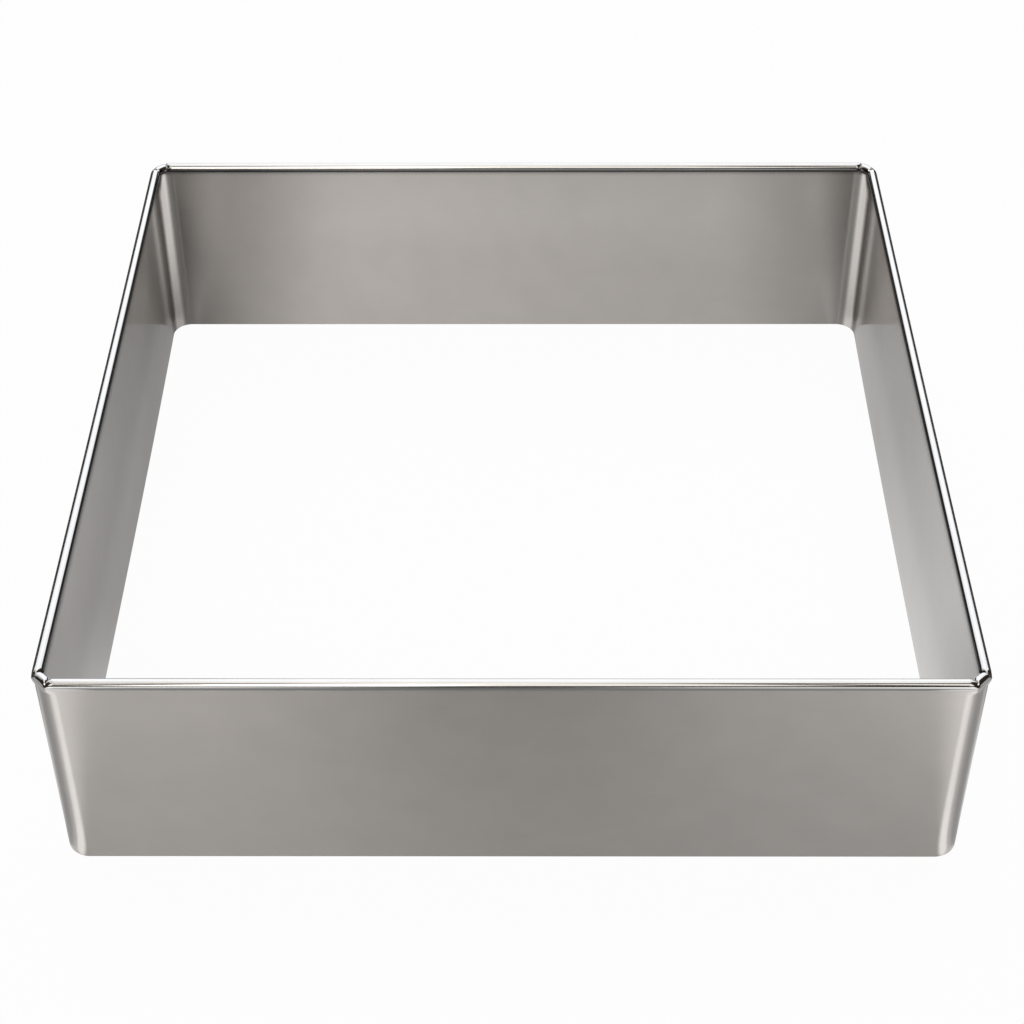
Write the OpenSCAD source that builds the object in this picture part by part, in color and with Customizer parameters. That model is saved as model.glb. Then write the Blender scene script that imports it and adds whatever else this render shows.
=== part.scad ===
// Square cake ring: an open ring of steel strip with its top edge rolled round a wire.
// The origin is the middle of the square, at the height of the bottom edge, with +Z up.
// The front wall faces -Y and the left wall faces -X.

/* [Ring] */
// Outside width of the square, measured across two opposite walls
ring_w = 180; // [100:1:300]
// Height from the plain bottom edge to the top of the rim
ring_h = 50; // [30:1:90]
// Outside radius of the four bends in the strip
corner_r = 5; // [4.5:0.5:12]

/* [Rim] */
// Thickness of the steel strip
sheet_t = 0.5; // [0.4:0.1:0.8]
// Diameter of the wire that the top edge is rolled round
wire_d = 1.2; // [0.8:0.1:1.6]
// How far the rim stands proud of the outside of the walls
rim_proud = 0.1; // [0.05:0.05:0.2]

/* [Seam] */
// Width of the butt weld that closes the strip, in the left wall
seam_w = 1.2; // [0.8:0.1:3]
// Place of the weld along the left wall, from the wall's middle
seam_y = 0; // [-40:1:40]
// Place of the wire's joint along the right wall, from the wall's middle
wire_joint_y = 0; // [-40:1:40]

/* [Fits] */
// Clearance between the wire and the curl, all round
wire_fit = 0.05; // [0.02:0.01:0.1]
// Gap between the two ends of the wire
wire_gap = 0.4; // [0.2:0.1:2]
// Slit between the wall and the free edge of the curl
curl_gap = 0.15; // [0.1:0.05:0.3]

/* [Hidden] */

// The square has four sides, and the strip turns through this angle at each corner.
sides = 4;
corner_turn = 360 / sides;

// The rim is the sheet's thickness round a channel that holds the wire.
wire_r = wire_d / 2;
channel_r = wire_r + wire_fit;
rim_r = channel_r + sheet_t;

// The rim's centre, as a height and as a distance in from the outside of the wall.
rim_z = ring_h - rim_r;
rim_inset = rim_r - rim_proud;

// Each flat runs between two bends, whose centres lie this far from the middle of the ring.
bend_at = ring_w / 2 - corner_r;

// Overrun of every cut past the surface that it opens.
overrun = 0.2;

// Number of facets drawn on a full turn of the rim's section and of a bend.
section_steps = 64;
bend_steps = 96;

// A round section at the rim's centre. Sections run inwards along X from the wall's outside.
module rim_circle(radius) {
    translate([rim_inset, rim_z])
        circle(r = radius, $fn = section_steps);
}

// The strip's section: an upright wall whose top edge curls inwards round the wire's channel.
// The curl's free edge stops just short of the wall, which leaves a slit below the channel.
module strip_section() {
    difference() {
        union() {
            square([sheet_t, rim_z]);
            rim_circle(rim_r);
        }
        rim_circle(channel_r);
        translate([sheet_t, rim_z - rim_r - overrun])
            square([curl_gap, rim_r + overrun]);
    }
}

// Carries a section all round the square: four flats, and four bends between them.
module round_the_square() {
    for (side = [0 : sides - 1])
        rotate([0, 0, side * corner_turn]) {
            translate([-bend_at, -ring_w / 2, 0])
                rotate([90, 0, 90])
                    linear_extrude(height = 2 * bend_at)
                        children();
            translate([bend_at, -bend_at, 0])
                rotate([0, 0, -corner_turn])
                    rotate_extrude(angle = corner_turn, $fn = bend_steps)
                        translate([corner_r, 0])
                            mirror([1, 0])
                                children();
        }
}

// The strip as one closed ring, before the weld is told apart.
module closed_band() {
    round_the_square()
        strip_section();
}

// The space that the weld fills: a slice right through the left wall and its rim.
module seam_slice() {
    slice_t = 2 * rim_r + 2 * overrun;
    translate([-ring_w / 2 - rim_proud - overrun, seam_y - seam_w / 2, -overrun])
        cube([slice_t, seam_w, ring_h + 2 * overrun]);
}

// The gap between the two ends of the wire, in the right side of the rim.
module wire_slice() {
    slice_t = 2 * (wire_r + overrun);
    rail = ring_w / 2 - rim_inset;
    translate([rail - slice_t / 2, wire_joint_y - wire_gap / 2, rim_z - slice_t / 2])
        cube([slice_t, wire_gap, slice_t]);
}

// The bent strip: walls, corner bends and the curled rim.
module band() {
    color([0.62, 0.61, 0.59])
        difference() {
            closed_band();
            seam_slice();
        }
}

// The stiffening wire inside the curl.
module rim_wire() {
    color([0.45, 0.46, 0.48])
        difference() {
            round_the_square()
                rim_circle(wire_r);
            wire_slice();
        }
}

// The flush butt weld that joins the strip's ends, curl included.
module seam_weld() {
    color([0.7, 0.68, 0.64])
        intersection() {
            closed_band();
            seam_slice();
        }
}

band();
rim_wire();
seam_weld();
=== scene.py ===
"""A square cake ring of brushed steel strip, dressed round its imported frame.

The frame gives the ring's width, its height, the place of its rim and the place of its seam.
The other sizes, the finishes and the studio are set in the sidebar's panel. Each operator makes
one piece, or the stage. Every piece is one section, carried all round the square.
"""

import math

import bmesh
import bpy
from bpy.props import FloatProperty, FloatVectorProperty, PointerProperty
from bpy.types import Operator, Panel, PropertyGroup
from mathutils import Matrix, Vector


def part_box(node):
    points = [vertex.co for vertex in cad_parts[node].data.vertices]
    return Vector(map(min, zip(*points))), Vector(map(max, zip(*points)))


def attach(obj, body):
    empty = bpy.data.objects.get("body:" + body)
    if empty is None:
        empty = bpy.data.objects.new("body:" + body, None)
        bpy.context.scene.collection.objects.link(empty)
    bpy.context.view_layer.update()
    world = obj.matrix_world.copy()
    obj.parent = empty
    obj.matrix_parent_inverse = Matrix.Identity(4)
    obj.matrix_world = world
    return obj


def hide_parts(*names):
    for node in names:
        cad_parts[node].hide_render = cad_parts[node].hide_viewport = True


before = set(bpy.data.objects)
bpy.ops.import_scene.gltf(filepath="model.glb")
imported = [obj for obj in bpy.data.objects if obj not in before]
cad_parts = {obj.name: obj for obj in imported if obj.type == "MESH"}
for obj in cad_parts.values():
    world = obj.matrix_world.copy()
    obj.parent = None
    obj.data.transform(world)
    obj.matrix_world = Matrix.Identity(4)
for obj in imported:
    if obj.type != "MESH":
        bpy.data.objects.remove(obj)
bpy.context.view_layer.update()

bl_info = {
    "name": "Square Cake Ring",
    "version": (1, 0, 0),
    "blender": (4, 5, 0),
    "location": "View3D > Sidebar > Cake Ring",
    "description": "Makes a square ring of brushed steel strip with a rolled rim",
    "category": "Add Mesh",
}

MM = 0.001

# The frame's sizes. The wire's box tells where the rim's centre line runs, and how thick the rim is.
RING_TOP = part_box("band")[1].z
WIRE_LOW, WIRE_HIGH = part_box("rim_wire")
SEAM_LOW, SEAM_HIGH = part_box("seam_weld")
WIRE_R = (WIRE_HIGH.z - WIRE_LOW.z) / 2
RIM_Z = (WIRE_HIGH.z + WIRE_LOW.z) / 2
RIM_R = RING_TOP - RIM_Z
RIM_OUT = WIRE_HIGH.x - WIRE_R

# The square's sides, and the turn that the strip makes between two of them.
SIDES = 4
TURN = math.radians(360 / SIDES)

# Fineness of the meshes.
BEND_STEPS = 32
CURL_STEPS = 40
CHANNEL_STEPS = 20
SMALL_ARC_STEPS = 4
WIRE_STEPS = 24
WALL_ROWS = 12
FINE_RUN = 2.4 * MM
FINE_STEPS = 12
LONG_STEPS = 14

# Every piece has this map of its strip laid flat, in metres: U along the strip and V across it.
STRIP_MAP = "strip"
ACROSS = "across"

# Places closer than this are the same place, and a place is on the rim's skin within ten times as much.
TINY = 1e-6
SKIN_SLACK = 1e-5

# Edges between faces that meet at more than this are left sharp.
SHARP_FROM = math.radians(50)

# The floor reaches this far from the middle of the ring, each way.
FLOOR_REACH = 3.0

# The grain's streaks: how many in a metre along the strip and in a metre across it.
STREAKS_ALONG = 40.0
STREAKS_ACROSS = 4000.0


class CakeRingShape(PropertyGroup):
    """Sizes of the strip and its rim that the frame's boxes don't tell."""

    sheet_t: FloatProperty(
        name="Sheet", description="Thickness of the steel strip",
        default=0.5 * MM, min=0.3 * MM, max=0.6 * MM, subtype="DISTANCE")
    rim_proud: FloatProperty(
        name="Rim stands proud", description="How far the rim stands out from the outside of the walls",
        default=0.1 * MM, min=0.05 * MM, max=0.3 * MM, subtype="DISTANCE")
    corner_r: FloatProperty(
        name="Bend", description="Outside radius of the four bends",
        default=5.0 * MM, min=4.0 * MM, max=12.0 * MM, subtype="DISTANCE")
    curl_gap: FloatProperty(
        name="Slit", description="Gap between the wall and the free edge of the curl",
        default=0.15 * MM, min=0.05 * MM, max=0.3 * MM, subtype="DISTANCE")
    throat_r: FloatProperty(
        name="Throat", description="Radius of the hollow where the wall runs out into the rim",
        default=0.3 * MM, min=0.1 * MM, max=1.0 * MM, subtype="DISTANCE")
    edge_r: FloatProperty(
        name="Edge break", description="Rounding of the strip's cut bottom edge",
        default=0.06 * MM, min=0.02 * MM, max=0.2 * MM, subtype="DISTANCE")
    crease_fade: FloatProperty(
        name="Crease fade", description="How far down the wall the rim's creases die out",
        default=1.8 * MM, min=0.5 * MM, max=10.0 * MM, subtype="DISTANCE")
    pinch_share: FloatProperty(
        name="Pinch", description="Share of the rim's radius that is lost at a crease",
        default=0.3, min=0.0, max=0.35, subtype="FACTOR")
    pinch_run: FloatProperty(
        name="Pinch length", description="Length of rim that is drawn in on each side of a crease",
        default=1.3 * MM, min=0.2 * MM, max=1.6 * MM, subtype="DISTANCE")
    side_bow: FloatProperty(
        name="Side bow", description="How far the left and right walls bow inwards at their bottom edge",
        default=0.4 * MM, min=0.0, max=1.0 * MM, subtype="DISTANCE")
    rim_bow: FloatProperty(
        name="Rim bow", description="How far the left and right walls bow inwards at the rim",
        default=0.15 * MM, min=0.0, max=0.5 * MM, subtype="DISTANCE")
    wire_gap: FloatProperty(
        name="Wire gap", description="Gap between the two ends of the wire inside the rim",
        default=0.4 * MM, min=0.1 * MM, max=2.0 * MM, subtype="DISTANCE")


class CakeRingFinish(PropertyGroup):
    """Colours and polish of the steel."""

    steel: FloatVectorProperty(
        name="Brushed steel", description="Colour of the brushed walls",
        default=(0.610, 0.572, 0.540), min=0.0, max=1.0, subtype="COLOR")
    polished: FloatVectorProperty(
        name="Polished steel", description="Colour of the polished rim",
        default=(0.72, 0.71, 0.70), min=0.0, max=1.0, subtype="COLOR")
    weld: FloatVectorProperty(
        name="Weld", description="Colour of the ground weld",
        default=(0.60, 0.565, 0.54), min=0.0, max=1.0, subtype="COLOR")
    wire: FloatVectorProperty(
        name="Wire", description="Colour of the drawn wire",
        default=(0.32, 0.33, 0.35), min=0.0, max=1.0, subtype="COLOR")
    wall_roughness: FloatProperty(
        name="Wall roughness", description="Roughness of the brushed walls",
        default=0.33, min=0.0, max=1.0, subtype="FACTOR")
    brushing: FloatProperty(
        name="Brushing", description="How much more the brushing blurs reflections up and down than sideways",
        default=1.0, min=0.0, max=1.0, subtype="FACTOR")
    lustre: FloatProperty(
        name="Lustre", description="How much of the sharp reflection lies over the brushed one",
        default=1.0, min=0.0, max=1.0, subtype="FACTOR")
    rim_roughness: FloatProperty(
        name="Rim roughness", description="Roughness of the polished rim",
        default=0.09, min=0.0, max=1.0, subtype="FACTOR")


class CakeRingStudio(PropertyGroup):
    """The pale floor and the light."""

    floor: FloatVectorProperty(
        name="Floor", description="Colour of the floor",
        default=(0.95, 0.95, 0.95), min=0.0, max=1.0, subtype="COLOR")
    floor_glow: FloatProperty(
        name="Floor glow", description="Share of plain white in what the camera sees of the floor",
        default=0.97, min=0.0, max=1.0, subtype="FACTOR")
    room: FloatVectorProperty(
        name="Room", description="Colour of the dim room round the soft boxes",
        default=(0.03, 0.025, 0.02), min=0.0, max=1.0, subtype="COLOR")


def shape():
    return bpy.context.scene.cake_ring_shape


def finish():
    return bpy.context.scene.cake_ring_finish


def studio():
    return bpy.context.scene.cake_ring_studio


def wall_out():
    """Distance from the middle of the ring to the outside of a flat wall."""
    return RIM_OUT + RIM_R - shape().rim_proud


def bend_at():
    """Distance from the middle of the ring to the axis of a bend, along X and along Y."""
    return wall_out() - shape().corner_r


def section_point(inset, height):
    """A point of a section that stands where the front wall meets its right-hand bend."""
    return Vector((bend_at(), inset - wall_out(), height))


def circle_point(centre, radius, angle):
    """A point on a circle of the section. The angle is zero inwards and grows upwards."""
    return centre + Vector((0.0, radius * math.cos(angle), radius * math.sin(angle)))


class Outline:
    """A pen that draws a section's outline, and keeps on each vertex its distance along the line."""

    def __init__(self, bm, start):
        self.bm = bm
        self.layer = bm.verts.layers.float.new(ACROSS)
        self.first = bm.verts.new(start)
        self.last = self.first

    def step_to(self, place):
        before = self.last
        self.last = bmesh.ops.extrude_vert_indiv(self.bm, verts=[before])["verts"][0]
        self.last.co = place
        self.last[self.layer] = before[self.layer] + (self.last.co - before.co).length

    def line(self, place, steps=1):
        start = self.last.co.copy()
        for step in range(1, steps + 1):
            self.step_to(start.lerp(place, step / steps))
        return self.last[self.layer]

    def arc(self, centre, radius, start, end, steps):
        for step in range(1, steps + 1):
            self.step_to(circle_point(centre, radius, start + (end - start) * step / steps))
        return self.last[self.layer]

    def close(self):
        """Joins the last vertex to the first, and returns the outline's whole length."""
        length = self.last[self.layer]
        bmesh.ops.weld_verts(self.bm, targetmap={self.last: self.first})
        return length


def strip_marks():
    """Heights and angles of the strip's section that its outline and its finishes share."""
    s = shape()
    rim_in = RIM_R - s.rim_proud
    channel_r = RIM_R - s.sheet_t
    lip_in = s.sheet_t + s.curl_gap
    throat_drop = math.sqrt((RIM_R + s.throat_r) ** 2 - (rim_in + s.throat_r) ** 2)
    return {
        "rim_in": rim_in,
        "channel_r": channel_r,
        "throat_z": RIM_Z - throat_drop,
        "throat_turn": math.atan2(throat_drop, rim_in + s.throat_r),
        "lip_outer": math.acos((lip_in - rim_in) / RIM_R),
        "lip_inner": math.acos((lip_in - rim_in) / channel_r),
        "wall_meet": math.acos((s.sheet_t - rim_in) / channel_r),
    }


def draw_strip(bm):
    """Draws the strip's section: a wall whose top edge runs out into the rim and curls in round the wire.
    Returns the outline's length, and where along it the rim starts and ends."""
    s = shape()
    m = strip_marks()
    half_turn = math.pi
    quarter_turn = math.pi / 2
    rim_centre = section_point(m["rim_in"], RIM_Z)
    fade_z = m["throat_z"] - s.crease_fade
    guard_z = 2 * s.edge_r

    pen = Outline(bm, section_point(0.0, s.edge_r))
    pen.line(section_point(0.0, guard_z))
    pen.line(section_point(0.0, fade_z), WALL_ROWS)
    pen.line(section_point(0.0, m["throat_z"] - s.edge_r), WALL_ROWS)
    rim_start = pen.line(section_point(0.0, m["throat_z"]))
    pen.arc(section_point(-s.throat_r, m["throat_z"]), s.throat_r, 0.0, m["throat_turn"], SMALL_ARC_STEPS)
    pen.arc(rim_centre, RIM_R, half_turn + m["throat_turn"], -m["lip_outer"], CURL_STEPS)
    pen.line(circle_point(rim_centre, m["channel_r"], -m["lip_inner"]))
    rim_end = pen.arc(
        rim_centre, m["channel_r"], -m["lip_inner"], 2 * half_turn - m["wall_meet"], CHANNEL_STEPS)
    pen.line(section_point(s.sheet_t, fade_z), WALL_ROWS)
    pen.line(section_point(s.sheet_t, guard_z), WALL_ROWS)
    pen.line(section_point(s.sheet_t, s.edge_r))
    pen.arc(section_point(s.sheet_t - s.edge_r, s.edge_r), s.edge_r, 0.0, -quarter_turn, SMALL_ARC_STEPS)
    pen.line(section_point(s.edge_r, 0.0))
    pen.arc(section_point(s.edge_r, s.edge_r), s.edge_r, -quarter_turn, -half_turn, SMALL_ARC_STEPS)
    return pen.close(), rim_start, rim_end


def draw_wire(bm):
    """Draws the wire's round section. Returns the outline's length."""
    centre = section_point(strip_marks()["rim_in"], RIM_Z)
    pen = Outline(bm, circle_point(centre, WIRE_R, 0.0))
    pen.arc(centre, WIRE_R, 0.0, 2 * math.pi, WIRE_STEPS)
    return pen.close()


def draw_out(bm, edges, direction, lengths):
    """Extrudes a section along a direction, by each length in turn."""
    for length in lengths:
        made = bmesh.ops.extrude_edge_only(bm, edges=edges)["geom"]
        verts = [g for g in made if isinstance(g, bmesh.types.BMVert)]
        bmesh.ops.translate(bm, verts=verts, vec=direction * length)
        edges = [g for g in made if isinstance(g, bmesh.types.BMEdge) and g.is_boundary]


def carry_round(bm):
    """Carries the section all round the square: a bend with half a flat on each side, four times."""
    b = bend_at()
    section = bm.edges[:]
    spun = bmesh.ops.spin(
        bm, geom=bm.verts[:] + section, cent=(b, -b, 0.0), axis=(0.0, 0.0, 1.0),
        dvec=(0.0, 0.0, 0.0), angle=TURN, steps=BEND_STEPS, use_merge=False, use_duplicate=False)
    far_end = [g for g in spun["geom_last"] if isinstance(g, bmesh.types.BMEdge)]
    lengths = [FINE_RUN / FINE_STEPS] * FINE_STEPS + [(b - FINE_RUN) / LONG_STEPS] * LONG_STEPS
    draw_out(bm, section, Vector((-1.0, 0.0, 0.0)), lengths)
    draw_out(bm, far_end, Vector((0.0, 1.0, 0.0)), lengths)
    quarter = bm.verts[:] + bm.edges[:] + bm.faces[:]
    for side in range(1, SIDES):
        made = bmesh.ops.duplicate(bm, geom=quarter)["geom"]
        verts = [g for g in made if isinstance(g, bmesh.types.BMVert)]
        bmesh.ops.rotate(bm, verts=verts, cent=(0.0, 0.0, 0.0), matrix=Matrix.Rotation(side * TURN, 3, "Z"))
    bmesh.ops.remove_doubles(bm, verts=bm.verts[:], dist=TINY)
    bmesh.ops.recalc_face_normals(bm, faces=bm.faces[:])


def quarter_of(place):
    """Which quarter of the square a place is in, counted from the middle of the left wall by the front."""
    if place.y < 0:
        return 0 if place.x < 0 else 1
    return 2 if place.x >= 0 else 3


def along(place, quarter):
    """Distance along the strip from the middle of the left wall, by way of the front."""
    b = bend_at()
    bend_length = TURN * (shape().corner_r - shape().sheet_t / 2)
    turned = Matrix.Rotation(-(quarter - 2) * TURN, 3, "Z") @ place
    if turned.y <= b:
        local = turned.y
    elif turned.x >= b:
        angle = math.atan2(turned.y - b, turned.x - b)
        local = b + bend_length * angle / TURN
    else:
        local = b + bend_length + b - turned.x
    return quarter * (2 * b + bend_length) + local


def lay_strip_map(bm, length):
    """Lays the strip flat in a UV map, in metres."""
    layer = bm.verts.layers.float[ACROSS]
    uv = bm.loops.layers.uv.new(STRIP_MAP)
    for face in bm.faces:
        quarter = quarter_of(face.calc_center_median())
        values = [v[layer] for v in face.verts]
        wraps = max(values) - min(values) > length / 2
        for loop, value in zip(face.loops, values):
            if wraps and value < length / 2:
                value += length
            loop[uv].uv = (along(loop.vert.co, quarter), value)


def smooth_step(share):
    share = max(0.0, min(1.0, share))
    return share * share * (3 - 2 * share)


def pinch_at(s, m, inward, z, from_crease, on_curl):
    """Share of its radius that the rim loses at a place near a crease. Only the rim's outer skin is drawn
    in, and ever less towards the outside of the ring. Angles are in radians."""
    skin_share = 0.95
    fade_from, fade_run = 2.6, 0.9
    radius = math.hypot(inward, z - RIM_Z)
    on_bead = radius > RIM_R - SKIN_SLACK and z > m["throat_z"] - TINY
    if not on_bead and not (on_curl and radius > RIM_R * skin_share):
        return 0.0
    near = 1.0 - min(1.0, from_crease / s.pinch_run)
    drawn = s.pinch_share * (1.0 - math.sqrt(max(0.0, 1.0 - near * near)))
    turn = math.atan2(z - RIM_Z, inward)
    outside = turn if turn > -math.pi / 2 else turn + 2 * math.pi
    return drawn * (1.0 - smooth_step((outside - fade_from) / fade_run))


def crease_rim(bm, pinch):
    """Folds the rim twice at each bend, where a rolled rim kinks instead of bending, and draws it in there.
    The folds die out a little way down the wall, which keeps its round bend."""
    s = shape()
    m = strip_marks()
    b = bend_at()
    rim_bend_r = s.corner_r - m["rim_in"]
    flat_run = rim_bend_r * math.tan(TURN / 4)
    fade_z = m["throat_z"] - s.crease_fade
    for vert in bm.verts:
        x, y, z = abs(vert.co.x) - b, abs(vert.co.y) - b, vert.co.z
        if z < fade_z or max(x, y) <= 0:
            continue
        in_bend = x > TINY and y > TINY
        reach = math.hypot(x, y) if in_bend else max(x, y)
        angle = math.atan2(y, x) if in_bend else 0.0
        off_facet = abs(angle - round(angle / (TURN / 2)) * TURN / 2)
        from_crease = flat_run - (rim_bend_r * math.tan(off_facet) if in_bend else min(x, y))
        inward = s.corner_r - reach - m["rim_in"]
        on_curl = inward > m["channel_r"] * math.cos(m["lip_inner"]) - TINY
        share = 1.0 if on_curl and z < RIM_Z else smooth_step((z - fade_z) / s.crease_fade)
        grown = 1.0 + share * (1.0 / math.cos(off_facet) - 1.0)
        drawn = pinch_at(s, m, inward, z, from_crease, on_curl) if pinch else 0.0
        new_reach = reach * grown + inward * drawn * grown
        scale = new_reach / reach
        if in_bend:
            vert.co.x = math.copysign(b + x * scale, vert.co.x)
            vert.co.y = math.copysign(b + y * scale, vert.co.y)
        elif x > y:
            vert.co.x = math.copysign(b + new_reach, vert.co.x)
        else:
            vert.co.y = math.copysign(b + new_reach, vert.co.y)
        vert.co.z = z - (z - RIM_Z) * drawn


def bow_sides(bm):
    """Bows the left and right walls inwards a little, as strip this thin does after it is bent."""
    s = shape()
    b = bend_at()
    for vert in bm.verts:
        if abs(vert.co.x) < b or abs(vert.co.y) > b:
            continue
        depth = s.side_bow + (s.rim_bow - s.side_bow) * vert.co.z / RING_TOP
        vert.co.x -= math.copysign(depth * (1.0 - (vert.co.y / b) ** 2), vert.co.x)


def slice_wall(bm, left, width, keep):
    """Cuts a slice of that width out of the middle of the left or right wall, or keeps only the slice."""
    def on_side(place):
        return (place.x < 0) == left

    for edge_y in (-width / 2, width / 2):
        faces = [f for f in bm.faces if on_side(f.calc_center_median())]
        edges = dict.fromkeys(e for f in faces for e in f.edges)
        verts = dict.fromkeys(v for f in faces for v in f.verts)
        bmesh.ops.bisect_plane(
            bm, geom=[*verts, *edges, *faces], dist=TINY, plane_co=(0.0, edge_y, 0.0),
            plane_no=(0.0, 1.0, 0.0))
    inside, outside = [], []
    for face in bm.faces:
        centre = face.calc_center_median()
        within = on_side(centre) and abs(centre.y) < width / 2
        (inside if within else outside).append(face)
    bmesh.ops.delete(bm, geom=outside if keep else inside, context="FACES")
    ends = [e for e in bm.edges if e.is_boundary]
    bmesh.ops.edgeloop_fill(bm, edges=ends)
    bmesh.ops.recalc_face_normals(bm, faces=bm.faces[:])


def shade(bm):
    """Smooths the faces, and leaves an edge sharp where its two faces meet at more than a slant."""
    for face in bm.faces:
        face.smooth = True
    for edge in bm.edges:
        edge.smooth = not edge.is_manifold or edge.calc_face_angle() < SHARP_FROM


def add_piece(bm, name, materials, node):
    """Turns a bmesh into a piece that stands for a node, and rides with the ring."""
    shade(bm)
    mesh = bpy.data.meshes.new(name)
    bm.to_mesh(mesh)
    bm.free()
    for material in materials:
        mesh.materials.append(material)
    piece = bpy.data.objects.new(name, mesh)
    bpy.context.scene.collection.objects.link(piece)
    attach(piece, "root")
    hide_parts(node)
    return piece


def make_strip(name, materials, node, keep_seam):
    """Makes the whole strip without its seam, or the seam alone. The second material is the rim's."""
    bm = bmesh.new()
    length, rim_start, rim_end = draw_strip(bm)
    carry_round(bm)
    lay_strip_map(bm, length)
    layer = bm.verts.layers.float[ACROSS]
    for face in bm.faces:
        middle = sum(v[layer] for v in face.verts) / len(face.verts)
        face.material_index = 1 if rim_start < middle < rim_end else 0
    crease_rim(bm, pinch=True)
    bow_sides(bm)
    slice_wall(bm, left=True, width=SEAM_HIGH.y - SEAM_LOW.y, keep=keep_seam)
    return add_piece(bm, name, materials, node)


def add_node(tree, kind, inputs=None, **settings):
    """Adds a node, with its settings. Each input takes a plain value or another node's socket."""
    node = tree.nodes.new(kind)
    for key, value in settings.items():
        setattr(node, key, value)
    for key, value in (inputs or {}).items():
        if isinstance(value, bpy.types.NodeSocket):
            tree.links.new(value, node.inputs[key])
        else:
            node.inputs[key].default_value = value
    return node


def add_math(tree, operation, *values):
    return add_node(tree, "ShaderNodeMath", dict(enumerate(values)), operation=operation).outputs[0]


def add_range(tree, value, start, end, low=0.0, high=1.0):
    """Goes softly from low to high while the value goes from start to end."""
    node = add_node(
        tree, "ShaderNodeMapRange",
        {"Value": value, "From Min": start, "From Max": end, "To Min": low, "To Max": high},
        interpolation_type="SMOOTHSTEP")
    return node.outputs["Result"]


def add_mix(tree, share, low, high):
    """Goes from low to high with the share."""
    return add_node(tree, "ShaderNodeMix", {0: share, 2: low, 3: high}).outputs[0]


def add_gain(tree, share, gain):
    """One where the share is zero, and one and the gain where the share is one."""
    return add_math(tree, "MULTIPLY_ADD", share, gain, 1.0)


def object_place(tree):
    """The three coordinates of a point of the piece."""
    place = add_node(tree, "ShaderNodeTexCoord").outputs["Object"]
    return add_node(tree, "ShaderNodeSeparateXYZ", {0: place}).outputs


def strip_place(tree):
    """Where on the strip a point lies: its distance along the strip and its distance across."""
    strip = add_node(tree, "ShaderNodeUVMap", uv_map=STRIP_MAP)
    split = add_node(tree, "ShaderNodeSeparateXYZ", {0: strip.outputs["UV"]})
    return split.outputs["X"], split.outputs["Y"]


def start_group(name, inputs, outputs):
    """Starts a group of shader nodes with named inputs and outputs.
    Returns its tree, the sockets of its inputs and those of its outputs."""
    tree = bpy.data.node_groups.new(name, "ShaderNodeTree")
    for socket in inputs:
        tree.interface.new_socket(socket, in_out="INPUT", socket_type="NodeSocketFloat")
    for socket in outputs:
        tree.interface.new_socket(socket, in_out="OUTPUT", socket_type="NodeSocketFloat")
    group_in = tree.nodes.new("NodeGroupInput").outputs
    group_out = tree.nodes.new("NodeGroupOutput").inputs
    return tree, group_in, group_out


def grain_group():
    """Fine streaks along the strip: a height, a tone and a roughness that share one pattern. Faint clouds
    vary the tone too."""
    name = "Brushed grain"
    if name in bpy.data.node_groups:
        return bpy.data.node_groups[name]
    cloud_scale, cloud_contrast = 110.0, 0.12
    inputs, outputs = ("Along", "Across", "Contrast"), ("Tone", "Roughness", "Height")
    tree, group_in, group_out = start_group(name, inputs, outputs)
    along_strip, across = strip_place(tree)
    along_grain = add_math(tree, "MULTIPLY", along_strip, group_in["Along"])
    across_grain = add_math(tree, "MULTIPLY", across, group_in["Across"])
    stretch = add_node(tree, "ShaderNodeCombineXYZ", {"X": along_grain, "Y": across_grain})
    streaks = add_node(
        tree, "ShaderNodeTexNoise",
        {"Vector": stretch.outputs[0], "Scale": 1.0, "Detail": 3.0, "Roughness": 0.6})
    centred = add_math(tree, "SUBTRACT", streaks.outputs["Fac"], 0.5)
    spread = add_math(tree, "MULTIPLY", centred, group_in["Contrast"])
    place = add_node(tree, "ShaderNodeTexCoord").outputs["Object"]
    clouds = add_node(tree, "ShaderNodeTexNoise", {"Vector": place, "Scale": cloud_scale, "Detail": 2.0})
    cloud = add_math(tree, "SUBTRACT", clouds.outputs["Fac"], 0.5)
    cloudy = add_gain(tree, cloud, cloud_contrast)
    tree.links.new(add_math(tree, "ADD", cloudy, spread), group_out["Tone"])
    tree.links.new(spread, group_out["Roughness"])
    tree.links.new(streaks.outputs["Fac"], group_out["Height"])
    return tree


def across_at(angle):
    """Distance across the strip of a place on the rim's outside. The angle is in degrees, is zero inwards
    and grows upwards."""
    s = shape()
    m = strip_marks()
    turned = math.pi + m["throat_turn"] - math.radians(angle)
    return m["throat_z"] - s.edge_r + s.throat_r * m["throat_turn"] + RIM_R * turned


def side_share(tree):
    """One on the left and right of the ring, and zero at its front and rear."""
    soft = 1 * MM
    place = object_place(tree)
    x = add_math(tree, "ABSOLUTE", place["X"])
    y = add_math(tree, "ABSOLUTE", place["Y"])
    return add_range(tree, add_math(tree, "SUBTRACT", x, y), -soft, soft)


def rim_painted_shade(tree):
    """Painted shade on the rim's underside, which darkens its colour: inside where it curls in, and outside
    where it leaves the wall. The painted shade reaches higher up the curl on the left and right. Angles are
    those of across_at."""
    inner_dark, outer_dark = 0.08, 0.6
    end_light, end_dark = 18, -10
    side_light, side_dark = 46, 28
    outer_from, outer_to = 158, 176
    across = strip_place(tree)[1]
    on_side = side_share(tree)
    light_to = add_mix(tree, on_side, across_at(end_light), across_at(side_light))
    dark_from = add_mix(tree, on_side, across_at(end_dark), across_at(side_dark))
    inner = add_range(tree, across, light_to, dark_from, 1.0, inner_dark)
    outer = add_range(tree, across, across_at(outer_from), across_at(outer_to), 1.0, outer_dark)
    return add_math(tree, "MULTIPLY", inner, outer)


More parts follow.
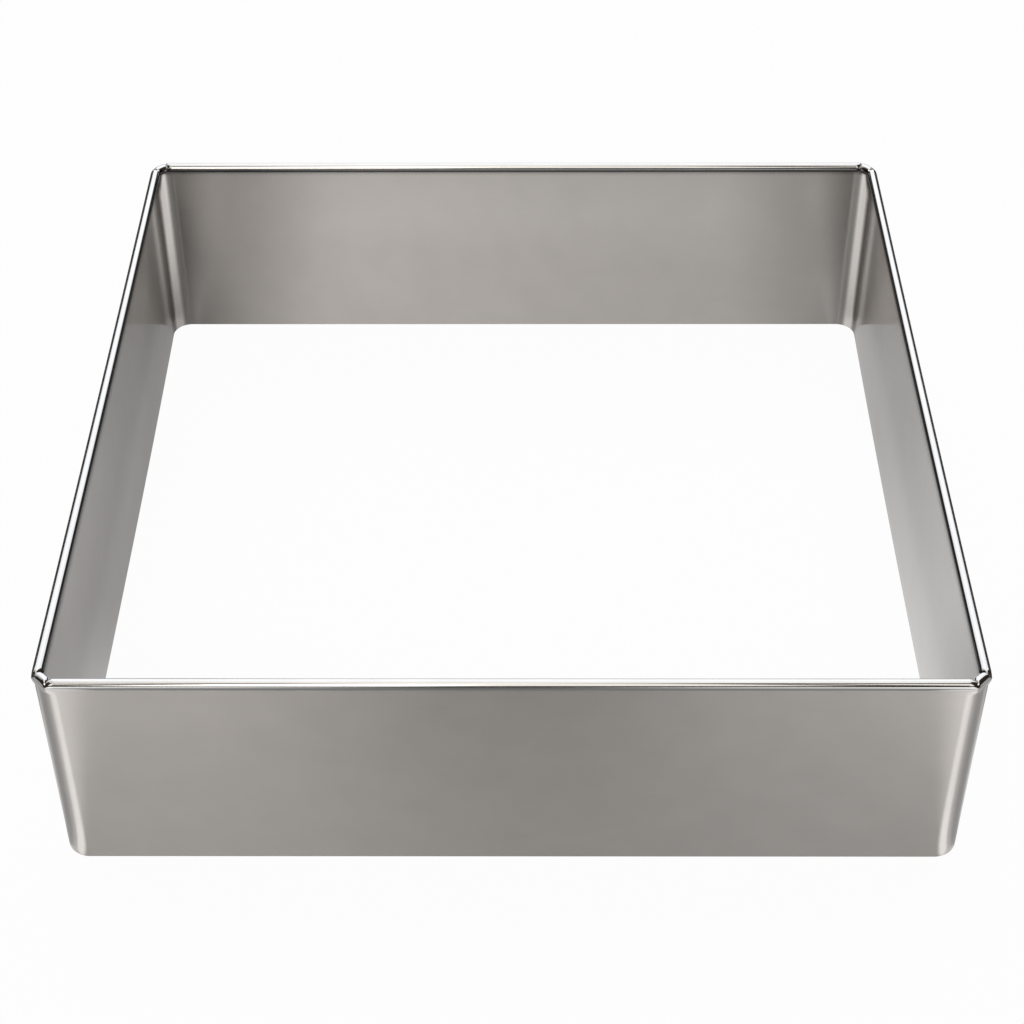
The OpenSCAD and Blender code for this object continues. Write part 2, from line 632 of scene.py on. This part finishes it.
def inside_from():
    """Distance across the strip at which the inside of the wall starts, up against the rim."""
    m = strip_marks()
    curl = m["channel_r"] * (2 * math.pi - m["wall_meet"] + m["lip_inner"])
    return across_at(-math.degrees(m["lip_outer"])) + curl


def under_rim_shade(tree):
    """The inside of the wall is dark right under the curl, where the rim keeps the light off it. The dark
    reaches farther down the left and right walls, which the soft boxes light from aside."""
    darkest = 0.1
    end_dark, end_light = 0.8 * MM, 3.0 * MM
    side_dark, side_light = 4.0 * MM, 8.0 * MM
    across = strip_place(tree)[1]
    on_side = side_share(tree)
    dark_to = add_mix(tree, on_side, inside_from() + end_dark, inside_from() + side_dark)
    light_from = add_mix(tree, on_side, inside_from() + end_light, inside_from() + side_light)
    shade = add_range(tree, across, dark_to, light_from, darkest, 1.0)
    inside = add_math(tree, "GREATER_THAN", across, inside_from())
    return add_mix(tree, inside, 1.0, shade)


def bend_burnish_and_painted_light(tree):
    """The inside of each bend is burnished by the tool that it was bent round, which makes it smoother, and
    gets a painted highlight there. It is dull beside that, and farther along the front and rear walls, most
    of all at their tops, where it also gets painted shade.
    Returns how burnished the steel is, with its painted highlight, and how dull it is, with its painted
    shade."""
    s = shape()
    b = bend_at()
    half_bend = TURN * (s.corner_r - s.sheet_t / 2) / 2
    burnish_highlight_from, burnish_highlight_to = 0.6, 0.2
    dull_from = 0.8
    low_run, high_run, side_run = 2 * MM, 11 * MM, 3 * MM
    high_z = 0.6 * RING_TOP
    along_strip, across = strip_place(tree)
    local = add_math(tree, "MODULO", along_strip, 2 * (b + half_bend))
    off = add_math(tree, "ABSOLUTE", add_math(tree, "SUBTRACT", local, b + half_bend))
    inside = add_math(tree, "GREATER_THAN", across, inside_from())
    # The burnish lowers the roughness, and it also brightens the colour as a painted highlight.
    burnish_and_highlight = add_range(tree, off, half_bend * burnish_highlight_from, half_bend * burnish_highlight_to)
    burnish_and_highlight = add_math(tree, "MULTIPLY", burnish_and_highlight, inside)
    end_reach = add_range(
        tree, object_place(tree)["Z"], 0.0, high_z, half_bend + low_run, half_bend + high_run)
    dull_to = add_mix(tree, side_share(tree), end_reach, half_bend + side_run)
    # The dull steel thins the sharp reflection, and it also darkens the colour as painted shade.
    dull = add_range(tree, off, dull_to, half_bend * dull_from)
    dull = add_math(tree, "MULTIPLY", dull, add_math(tree, "SUBTRACT", inside, burnish_and_highlight))
    return burnish_and_highlight, dull


def wall_group():
    """What bending leaves on the inside of the walls, with painted light and shade laid over it: a tone, a
    blur and a lustre. The tone carries a painted highlight in the bends, painted shade beside them and
    painted shade under the rim, and the lustre is thinned under the rim as well.
    """
    name = "Worked walls"
    if name in bpy.data.node_groups:
        return bpy.data.node_groups[name]
    inputs, outputs = ("Brighter", "Duller and shaded", "Smoother", "Lustre"), ("Tone", "Blur", "Lustre")
    tree, group_in, group_out = start_group(name, inputs, outputs)
    burnish_and_highlight, dull = bend_burnish_and_painted_light(tree)
    shade_under = under_rim_shade(tree)
    bright = add_gain(tree, burnish_and_highlight, group_in["Brighter"])
    less = add_math(tree, "MULTIPLY", dull, group_in["Duller and shaded"])
    bends = add_math(tree, "MULTIPLY", bright, add_math(tree, "SUBTRACT", 1.0, less))
    smooth = add_math(tree, "MULTIPLY", burnish_and_highlight, group_in["Smoother"])
    lustre = add_math(tree, "SUBTRACT", group_in["Lustre"], less)
    # The tone is painted light and shade: a highlight in the bends, shade beside them and shade under the
    # rim.
    tree.links.new(add_math(tree, "MULTIPLY", bends, shade_under), group_out["Tone"])
    tree.links.new(add_math(tree, "SUBTRACT", 1.0, smooth), group_out["Blur"])
    # The lustre is thinned where the shade is painted under the rim.
    tree.links.new(add_math(tree, "MULTIPLY", lustre, shade_under), group_out["Lustre"])
    return tree


def start_steel(name, brushing, contrast, depth):
    """Starts a steel with a grain along the strip, which blurs its reflections across the grain.
    Returns the material, its shader and the sockets of its grain."""
    quarter_turn = 0.25
    material = bpy.data.materials.new(name)
    material.use_nodes = True
    tree = material.node_tree
    steel = tree.nodes["Principled BSDF"]
    steel.inputs["Metallic"].default_value = 1.0
    steel.inputs["Anisotropic"].default_value = brushing
    steel.inputs["Anisotropic Rotation"].default_value = quarter_turn
    tangent = add_node(tree, "ShaderNodeTangent", direction_type="UV_MAP", uv_map=STRIP_MAP)
    tree.links.new(tangent.outputs[0], steel.inputs["Tangent"])
    grain = add_node(
        tree, "ShaderNodeGroup", {"Along": STREAKS_ALONG, "Across": STREAKS_ACROSS, "Contrast": contrast},
        node_tree=grain_group())
    bump = add_node(
        tree, "ShaderNodeBump", {"Strength": 1.0, "Distance": depth, "Height": grain.outputs["Height"]})
    tree.links.new(bump.outputs[0], steel.inputs["Normal"])
    return material, steel, grain.outputs


def colour_steel(tree, steel, colour, tone, blur):
    """Gives the steel its colour, made lighter or darker by the tone, and its roughness."""
    tint = add_node(tree, "ShaderNodeVectorMath", {0: colour, "Scale": tone}, operation="SCALE")
    tree.links.new(tint.outputs[0], steel.inputs["Base Color"])
    tree.links.new(blur, steel.inputs["Roughness"])


def wall_material(name, colour, contrast):
    """Brushed steel with a sharp reflection over the blurred one, which shows most where the wall is seen
    aslant."""
    f = finish()
    # brighter sets the painted highlight in the bends; duller sets how far the dull steel thins the lustre
    # and darkens the colour as painted shade.
    brighter, duller, smoother = 0.6, 0.42, 0.5
    sharp_roughness, sharp_ior = 0.1, 1.9
    material, steel, grain = start_steel(name, f.brushing, contrast, depth=2e-6)
    tree = material.node_tree
    steel.inputs["Coat Roughness"].default_value = sharp_roughness
    steel.inputs["Coat IOR"].default_value = sharp_ior
    worked_and_painted = add_node(
        tree, "ShaderNodeGroup",
        {"Brighter": brighter, "Duller and shaded": duller, "Smoother": smoother, "Lustre": f.lustre},
        node_tree=wall_group()).outputs
    # The worked tone brings in the painted highlight and the painted shade.
    tone = add_math(tree, "MULTIPLY", grain["Tone"], worked_and_painted["Tone"])
    rough = add_math(tree, "ADD", grain["Roughness"], f.wall_roughness)
    colour_steel(tree, steel, colour, tone, add_math(tree, "MULTIPLY", rough, worked_and_painted["Blur"]))
    tree.links.new(worked_and_painted["Lustre"], steel.inputs["Coat Weight"])
    return material


def rim_material():
    """Polished steel, with painted shade on the underside of the rim."""
    f = finish()
    name = "Polished rim"
    if name in bpy.data.materials:
        return bpy.data.materials[name]
    material, steel, grain = start_steel(name, brushing=0.3, contrast=0.04, depth=1e-7)
    tree = material.node_tree
    # The rim's tone is darkened by painted shade on its underside.
    tone = add_math(tree, "MULTIPLY", grain["Tone"], rim_painted_shade(tree))
    rough = add_math(tree, "ADD", grain["Roughness"], f.rim_roughness)
    colour_steel(tree, steel, f.polished, tone, rough)
    return material


def wire_material():
    """Drawn steel, duller than the strip."""
    dull = 0.4
    material, steel, grain = start_steel("Drawn wire", brushing=0.5, contrast=0.1, depth=1e-6)
    rough = add_math(material.node_tree, "ADD", grain["Roughness"], dull)
    colour_steel(material.node_tree, steel, finish().wire, grain["Tone"], rough)
    return material


class MakeBand(Operator):
    """Makes the bent strip, with its walls, bends and rolled rim"""

    bl_idname = "cake_ring.make_band"
    bl_label = "Band"

    def execute(self, context):
        walls = wall_material("Brushed walls", finish().steel, contrast=0.08)
        make_strip("steel_band", [walls, rim_material()], "band", keep_seam=False)
        return {"FINISHED"}


class MakeSeam(Operator):
    """Makes the butt weld that closes the strip, ground flush and brushed over"""

    bl_idname = "cake_ring.make_seam"
    bl_label = "Seam"

    def execute(self, context):
        ground = wall_material("Ground weld", finish().weld, contrast=0.12)
        make_strip("ground_seam", [ground, rim_material()], "seam_weld", keep_seam=True)
        return {"FINISHED"}


class MakeWire(Operator):
    """Makes the stiffening wire that the rim is rolled round"""

    bl_idname = "cake_ring.make_wire"
    bl_label = "Wire"

    def execute(self, context):
        bm = bmesh.new()
        length = draw_wire(bm)
        carry_round(bm)
        lay_strip_map(bm, length)
        crease_rim(bm, pinch=False)
        bow_sides(bm)
        slice_wall(bm, left=False, width=shape().wire_gap, keep=False)
        add_piece(bm, "drawn_wire", [wire_material()], "rim_wire")
        return {"FINISHED"}


def floor_in_front(tree, x, y):
    """The floor in front of the ring as the steel sees it, in painted light and shade: even near the ring,
    and farther out a painted dark wedge between two light sides. The wedge and the sides fan out from a point
    behind the ring."""
    near_level, near_gain = 0.36, 0.13
    wedge_level, side_level, edge_level = 0.12, 0.95, 1.2
    fan_y, lean = 183 * MM, -0.014
    near_slant, side_slant, edge_slant = (0.0, 0.3), (0.02, 0.20), (0.22, 0.34)
    near_end, far_start = 60 * MM, 120 * MM
    out = add_math(tree, "SUBTRACT", -wall_out(), y)
    slant = add_math(tree, "DIVIDE", x, add_math(tree, "SUBTRACT", fan_y, y))
    aside = add_math(tree, "ABSOLUTE", add_math(tree, "SUBTRACT", slant, lean))
    near = add_range(tree, aside, *near_slant, near_level, near_level + near_gain)
    sides = add_range(tree, aside, *side_slant, wedge_level, side_level)
    far = add_math(tree, "ADD", sides, add_range(tree, aside, *edge_slant, 0.0, edge_level))
    return add_mix(tree, add_range(tree, out, near_end, far_start), near, far)


def floor_at_corners(tree, x, y, ahead):
    """Off the two front corners the floor shows a painted light fan towards the front, and painted shade
    beside the ring.
    Turns are in degrees about a front bend, from straight ahead towards the side and the rear."""
    dim, slope_gain, fan_gain, back_gain = 0.46, 0.36, 0.62, 0.35
    ahead_turn, fan_turn, slope_turn, back_turn = (8, 24), (47, 38), (72, 44), (92, 118)
    bend = bend_at()
    side = add_math(tree, "SUBTRACT", add_math(tree, "ABSOLUTE", x), bend)
    front = add_math(tree, "SUBTRACT", -bend, y)
    turn = add_math(tree, "DEGREES", add_math(tree, "ARCTAN2", side, front))
    fan = add_range(tree, turn, *fan_turn, 0.0, fan_gain)
    slope = add_range(tree, turn, *slope_turn, dim, dim + slope_gain)
    back = add_range(tree, turn, *back_turn, 0.0, back_gain)
    lit = add_math(tree, "ADD", add_math(tree, "ADD", fan, slope), back)
    return add_mix(tree, add_range(tree, turn, *ahead_turn), ahead, lit)


def floor_inside(tree, x, y):
    """Inside the ring the floor is painted light in the middle and painted shade along the side walls and at
    the front. The shaded sides grow lighter towards the front, and right at the wall."""
    rear_level, middle_level, front_level = 0.59, 0.86, 0.08
    left_rear, left_front, left_gain = 0.24, 0.73, 0.12
    right_rear, right_front, right_gain = 0.42, 0.71, 0.15
    rear_y, front_y = (35 * MM, 60 * MM), (-10 * MM, -40 * MM)
    left_y, left_x = (-10 * MM, -85 * MM), (-42 * MM, -85 * MM)
    right_y, right_x = (50 * MM, -60 * MM), (55 * MM, 85 * MM)
    wall_x = (82 * MM, 86 * MM)
    half_x = (-10 * MM, 10 * MM)
    by_wall = add_math(tree, "ABSOLUTE", x)
    middle = add_range(tree, y, *rear_y, middle_level, rear_level)
    middle = add_mix(tree, add_range(tree, y, *front_y), middle, front_level)
    left = add_range(tree, y, *left_y, left_rear, left_front)
    left = add_math(tree, "ADD", left, add_range(tree, by_wall, *wall_x, 0.0, left_gain))
    left = add_mix(tree, add_range(tree, x, *left_x), middle, left)
    right = add_range(tree, y, *right_y, right_rear, right_front)
    right = add_math(tree, "ADD", right, add_range(tree, by_wall, *wall_x, 0.0, right_gain))
    right = add_mix(tree, add_range(tree, x, *right_x), middle, right)
    return add_mix(tree, add_range(tree, x, *half_x), left, right)


def floor_in_steel(tree):
    """How bright the steel sees each part of the floor: painted light and shade that only reflections show.
    """
    far_level, far_run = 0.06, 20 * MM
    behind_y = (-70 * MM, -40 * MM)
    place = object_place(tree)
    x, y = place["X"], place["Y"]
    from_middle = add_math(tree, "ABSOLUTE", x)
    wall = wall_out() - shape().sheet_t / 2
    soft = shape().sheet_t / 2
    across = add_math(tree, "MAXIMUM", from_middle, add_math(tree, "ABSOLUTE", y))
    outside = add_range(tree, across, wall - soft, wall + soft)
    around = floor_at_corners(tree, x, y, floor_in_front(tree, x, y))
    beyond = add_range(tree, from_middle, wall_out(), wall_out() + far_run, 1.0, far_level)
    behind = add_range(tree, y, *behind_y)
    around = add_math(tree, "MULTIPLY", around, add_mix(tree, behind, 1.0, beyond))
    return add_mix(tree, outside, floor_inside(tree, x, y), around)


def floor_material():
    """A pale floor that takes the ring's shadow. Plain white is laid over it for the camera, and the steel
    sees it brighter or darker from place to place, in painted light and shade."""
    material = bpy.data.materials.new("Pale floor")
    material.use_nodes = True
    tree = material.node_tree
    tree.nodes.clear()
    path = tree.nodes.new("ShaderNodeLightPath").outputs
    seen = add_math(tree, "MAXIMUM", path["Is Camera Ray"], path["Is Transmission Ray"])
    plain_share = add_math(tree, "MULTIPLY", seen, studio().floor_glow)
    dimming = add_math(tree, "SUBTRACT", floor_in_steel(tree), 1.0)
    strength = add_math(tree, "MULTIPLY_ADD", path["Is Glossy Ray"], dimming, 1.0)
    diffuse = add_node(tree, "ShaderNodeBsdfDiffuse", {"Color": (*studio().floor, 1.0)})
    white = add_node(tree, "ShaderNodeEmission", {"Color": (1.0, 1.0, 1.0, 1.0), "Strength": strength})
    mix = add_node(tree, "ShaderNodeMixShader", {
        0: add_math(tree, "MAXIMUM", plain_share, path["Is Glossy Ray"]), 1: diffuse.outputs[0],
        2: white.outputs[0]})
    add_node(tree, "ShaderNodeOutputMaterial", {"Surface": mix.outputs[0]})
    return material


def make_floor():
    bm = bmesh.new()
    bmesh.ops.create_grid(bm, x_segments=1, y_segments=1, size=FLOOR_REACH)
    mesh = bpy.data.meshes.new("floor")
    bm.to_mesh(mesh)
    bm.free()
    mesh.materials.append(floor_material())
    floor = bpy.data.objects.new("floor", mesh)
    bpy.context.scene.collection.objects.link(floor)


def add_softbox(tree, room, azimuth, half_width, low, high, edge, strength, colour):
    """Hangs a soft box in the room, between two heights. Angles are in degrees. Azimuth is zero in front of
    the ring and grows to the right, and the box fades over twice the edge."""
    a = math.radians(azimuth)
    view = add_node(tree, "ShaderNodeTexCoord").outputs["Generated"]
    ahead = add_node(
        tree, "ShaderNodeVectorMath", {0: view, 1: (math.sin(a), -math.cos(a), 0.0)}, operation="DOT_PRODUCT")
    aside = add_node(
        tree, "ShaderNodeVectorMath", {0: view, 1: (math.cos(a), math.sin(a), 0.0)}, operation="DOT_PRODUCT")
    turn = add_math(tree, "ARCTAN2", aside.outputs["Value"], ahead.outputs["Value"])
    turn = add_math(tree, "DEGREES", add_math(tree, "ABSOLUTE", turn))
    up = add_node(tree, "ShaderNodeSeparateXYZ", {0: view}).outputs["Z"]
    rise = add_math(tree, "DEGREES", add_math(tree, "ARCSINE", up))
    across = add_range(tree, turn, half_width + edge, half_width - edge)
    above = add_range(tree, rise, low - edge, low + edge)
    below = add_range(tree, rise, high + edge, high - edge)
    inside = add_math(tree, "MULTIPLY", across, add_math(tree, "MULTIPLY", above, below))
    lit = add_node(
        tree, "ShaderNodeVectorMath", {0: Vector(colour) * strength, 1: inside, 2: room},
        operation="MULTIPLY_ADD")
    return lit.outputs[0]


def make_world():
    """A dim room with soft boxes. The camera sees plain white in its place, and so does the steel where the
    floor would run on past its edge."""
    world = bpy.data.worlds.new("Studio")
    bpy.context.scene.world = world
    world.use_nodes = True
    tree = world.node_tree
    tree.nodes.clear()
    warm, cool = (1.03, 1.0, 0.95), (0.97, 1.0, 1.04)
    all_round, past_top = 181, 100
    # Azimuth, half width, low edge, high edge, softness, strength and colour of each soft box. The first
    # four stand behind and beside the ring, two hang over it, and the last four stand in front.
    soft_boxes = (
        (180, 22, 2, 74, 2, 1.35, cool),
        (-143, 15, 22, 74, 5, 1.2, cool),
        (143, 15, 22, 74, 5, 1.2, cool),
        (-115, 14, 20, 60, 4, 0.5, cool),
        (0, all_round, 74, past_top, 2, 1.15, warm),
        (-60, 62, 64, 72, 3, 0.9, warm),
        (-1, 10.5, 20, 69, 1.5, 1.1, warm),
        (-7, 4.5, 13, 48, 1.5, 2.1, warm),
        (-24, 7, 20, 60, 1.5, 1.1, warm),
        (21, 7, 20, 60, 1.5, 1.1, warm),
    )
    room = add_node(tree, "ShaderNodeCombineXYZ", dict(enumerate(studio().room))).outputs[0]
    for soft_box in soft_boxes:
        room = add_softbox(tree, room, *soft_box)
    path = tree.nodes.new("ShaderNodeLightPath").outputs
    view = add_node(tree, "ShaderNodeTexCoord").outputs["Generated"]
    height = add_node(tree, "ShaderNodeSeparateXYZ", {0: view}).outputs["Z"]
    low = add_math(tree, "MULTIPLY", path["Is Glossy Ray"], add_math(tree, "LESS_THAN", height, 0.0))
    seen = add_math(tree, "MAXIMUM", path["Is Camera Ray"], path["Is Transmission Ray"])
    white = add_node(tree, "ShaderNodeBackground", {"Color": (1.0, 1.0, 1.0, 1.0), "Strength": 1.0})
    lights = add_node(tree, "ShaderNodeBackground", {"Color": room, "Strength": 1.0})
    mix = add_node(tree, "ShaderNodeMixShader", {
        0: add_math(tree, "MAXIMUM", seen, low), 1: lights.outputs[0], 2: white.outputs[0]})
    add_node(tree, "ShaderNodeOutputWorld", {"Surface": mix.outputs[0]})


def make_camera():
    """The camera stands where the photograph was taken from, by its pitch, yaw and roll."""
    pitch, yaw, roll = math.radians(41.605), math.radians(-0.297), math.radians(-0.188)
    place = (0.001692, -0.363427, 0.335678)
    film_width, focal_length, nearest = 36.0, 74.53, 10 * MM
    camera = bpy.data.cameras.new("camera")
    camera.sensor_width = film_width
    camera.lens = focal_length
    camera.clip_start = nearest
    forward = Vector((math.sin(yaw) * math.cos(pitch), math.cos(yaw) * math.cos(pitch), -math.sin(pitch)))
    right = Vector((math.cos(yaw), -math.sin(yaw), 0.0))
    up = right.cross(forward)
    turned_right = right * math.cos(roll) + up * math.sin(roll)
    turned_up = up * math.cos(roll) - right * math.sin(roll)
    basis = Matrix((turned_right, turned_up, -forward)).transposed()
    obj = bpy.data.objects.new("camera", camera)
    obj.matrix_world = Matrix.Translation(place) @ basis.to_4x4()
    bpy.context.scene.collection.objects.link(obj)
    bpy.context.scene.camera = obj


class MakeStage(Operator):
    """Makes the floor, the light and the camera"""

    bl_idname = "cake_ring.make_stage"
    bl_label = "Stage"

    def execute(self, context):
        context.scene.view_settings.view_transform = "Standard"
        make_floor()
        make_world()
        make_camera()
        return {"FINISHED"}


class CAKE_RING_PT_panel(Panel):
    """Sizes, finishes and operators of the cake ring"""

    bl_label = "Cake Ring"
    bl_space_type = "VIEW_3D"
    bl_region_type = "UI"
    bl_category = "Cake Ring"

    def draw(self, context):
        for group in (shape(), finish(), studio()):
            box = self.layout.box()
            for key in group.bl_rna.properties.keys():
                if key not in ("rna_type", "name"):
                    box.prop(group, key)
        for operator in OPERATORS:
            self.layout.operator(operator.bl_idname)


OPERATORS = (MakeBand, MakeSeam, MakeWire, MakeStage)
CLASSES = (CakeRingShape, CakeRingFinish, CakeRingStudio, *OPERATORS, CAKE_RING_PT_panel)


def register():
    for cls in CLASSES:
        bpy.utils.register_class(cls)
    bpy.types.Scene.cake_ring_shape = PointerProperty(type=CakeRingShape)
    bpy.types.Scene.cake_ring_finish = PointerProperty(type=CakeRingFinish)
    bpy.types.Scene.cake_ring_studio = PointerProperty(type=CakeRingStudio)


def unregister():
    del bpy.types.Scene.cake_ring_studio
    del bpy.types.Scene.cake_ring_finish
    del bpy.types.Scene.cake_ring_shape
    for cls in reversed(CLASSES):
        bpy.utils.unregister_class(cls)


def main():
    register()
    bpy.ops.cake_ring.make_band()
    bpy.ops.cake_ring.make_seam()
    bpy.ops.cake_ring.make_wire()
    bpy.ops.cake_ring.make_stage()


if __name__ == "__main__":
    main()
